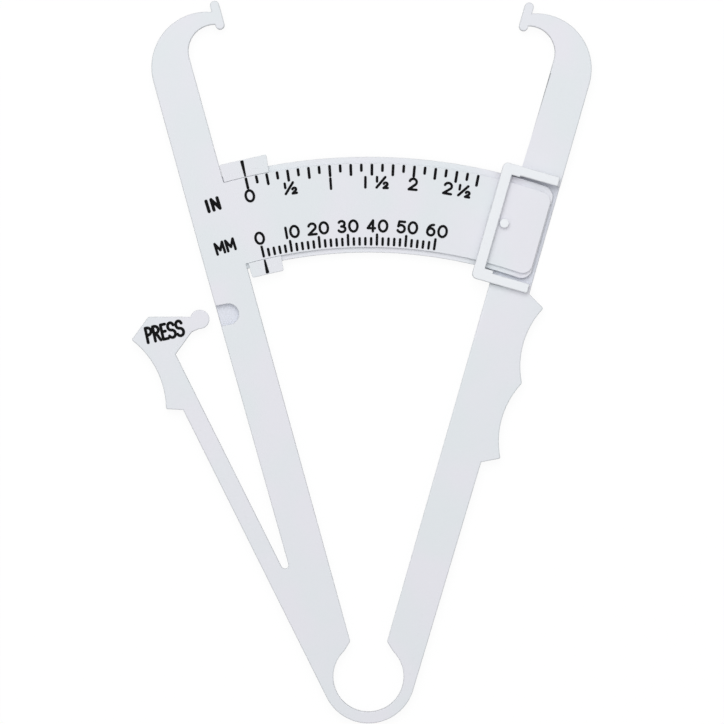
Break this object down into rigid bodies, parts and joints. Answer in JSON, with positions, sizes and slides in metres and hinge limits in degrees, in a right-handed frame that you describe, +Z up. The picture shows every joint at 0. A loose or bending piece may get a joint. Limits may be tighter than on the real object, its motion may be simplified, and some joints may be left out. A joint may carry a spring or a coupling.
{
  "type": "skinfold caliper",
  "caption": "Plastic skinfold caliper: hooked jaws on a spring ring, a curved scale band with a sliding clip, and a thumb lever that clicks at a set pressure.",
  "frame": {"origin": "middle of the bounding box's bottom face, jaws open, on the plane that the caliper's flat back rests on", "axes": "+Y along the middle line from the spring ring to the jaws, +X towards the arm with the finger grip, +Z up out of the printed face"},
  "size_m": [0.1074, 0.1692, 0.005],
  "materials": {
    "frame_plastic": "smooth injection-moulded white plastic, satin",
    "clip_plastic": "smooth injection-moulded white plastic, satin",
    "pad_print_ink": "black pad-printing ink, matt"
  },
  "bodies": {
    "left_frame": {"left_arm": "frame_plastic", "left_hook": "frame_plastic", "left_foot": "frame_plastic", "spring_ring": "frame_plastic", "scale_band": "frame_plastic", "scale_panel": "frame_plastic", "stop_nub": "frame_plastic", "mm_ticks": "pad_print_ink", "inch_ticks": "pad_print_ink", "lever_flexure": "frame_plastic"},
    "right_jaw": {"right_arm": "frame_plastic", "right_hook": "frame_plastic", "right_foot": "frame_plastic", "finger_grip": "frame_plastic", "band_guide": "frame_plastic"},
    "thumb_lever": {"lever_beam": "frame_plastic", "thumb_pad": "frame_plastic", "click_disc": "frame_plastic"},
    "slide": {"slide_clip": "clip_plastic", "index_lines": "pad_print_ink"}
  },
  "joints": [
    {"name": "jaw_close", "type": "hinge", "parent": "left_frame", "child": "right_jaw", "pos_m": [0.00209, -0.08083, 0.0016], "axis": [0, 0, 1], "range_deg": [0, 24.3], "stiffness_Nm_per_rad": 0.5, "deforming": ["spring_ring"]},
    {"name": "lever_press", "type": "hinge", "parent": "left_frame", "child": "thumb_lever", "pos_m": [-0.02542, -0.03879, 0.0016], "axis": [0, 0, -1], "range_deg": [0, 7.8], "stiffness_Nm_per_rad": 1.58, "deforming": ["lever_flexure"]},
    {"name": "clip_slide", "type": "hinge", "parent": "left_frame", "child": "slide", "pos_m": [0.00209, -0.08083, 0.0016], "axis": [0, 0, -1], "range_deg": [0, 24.3]}
  ]
}
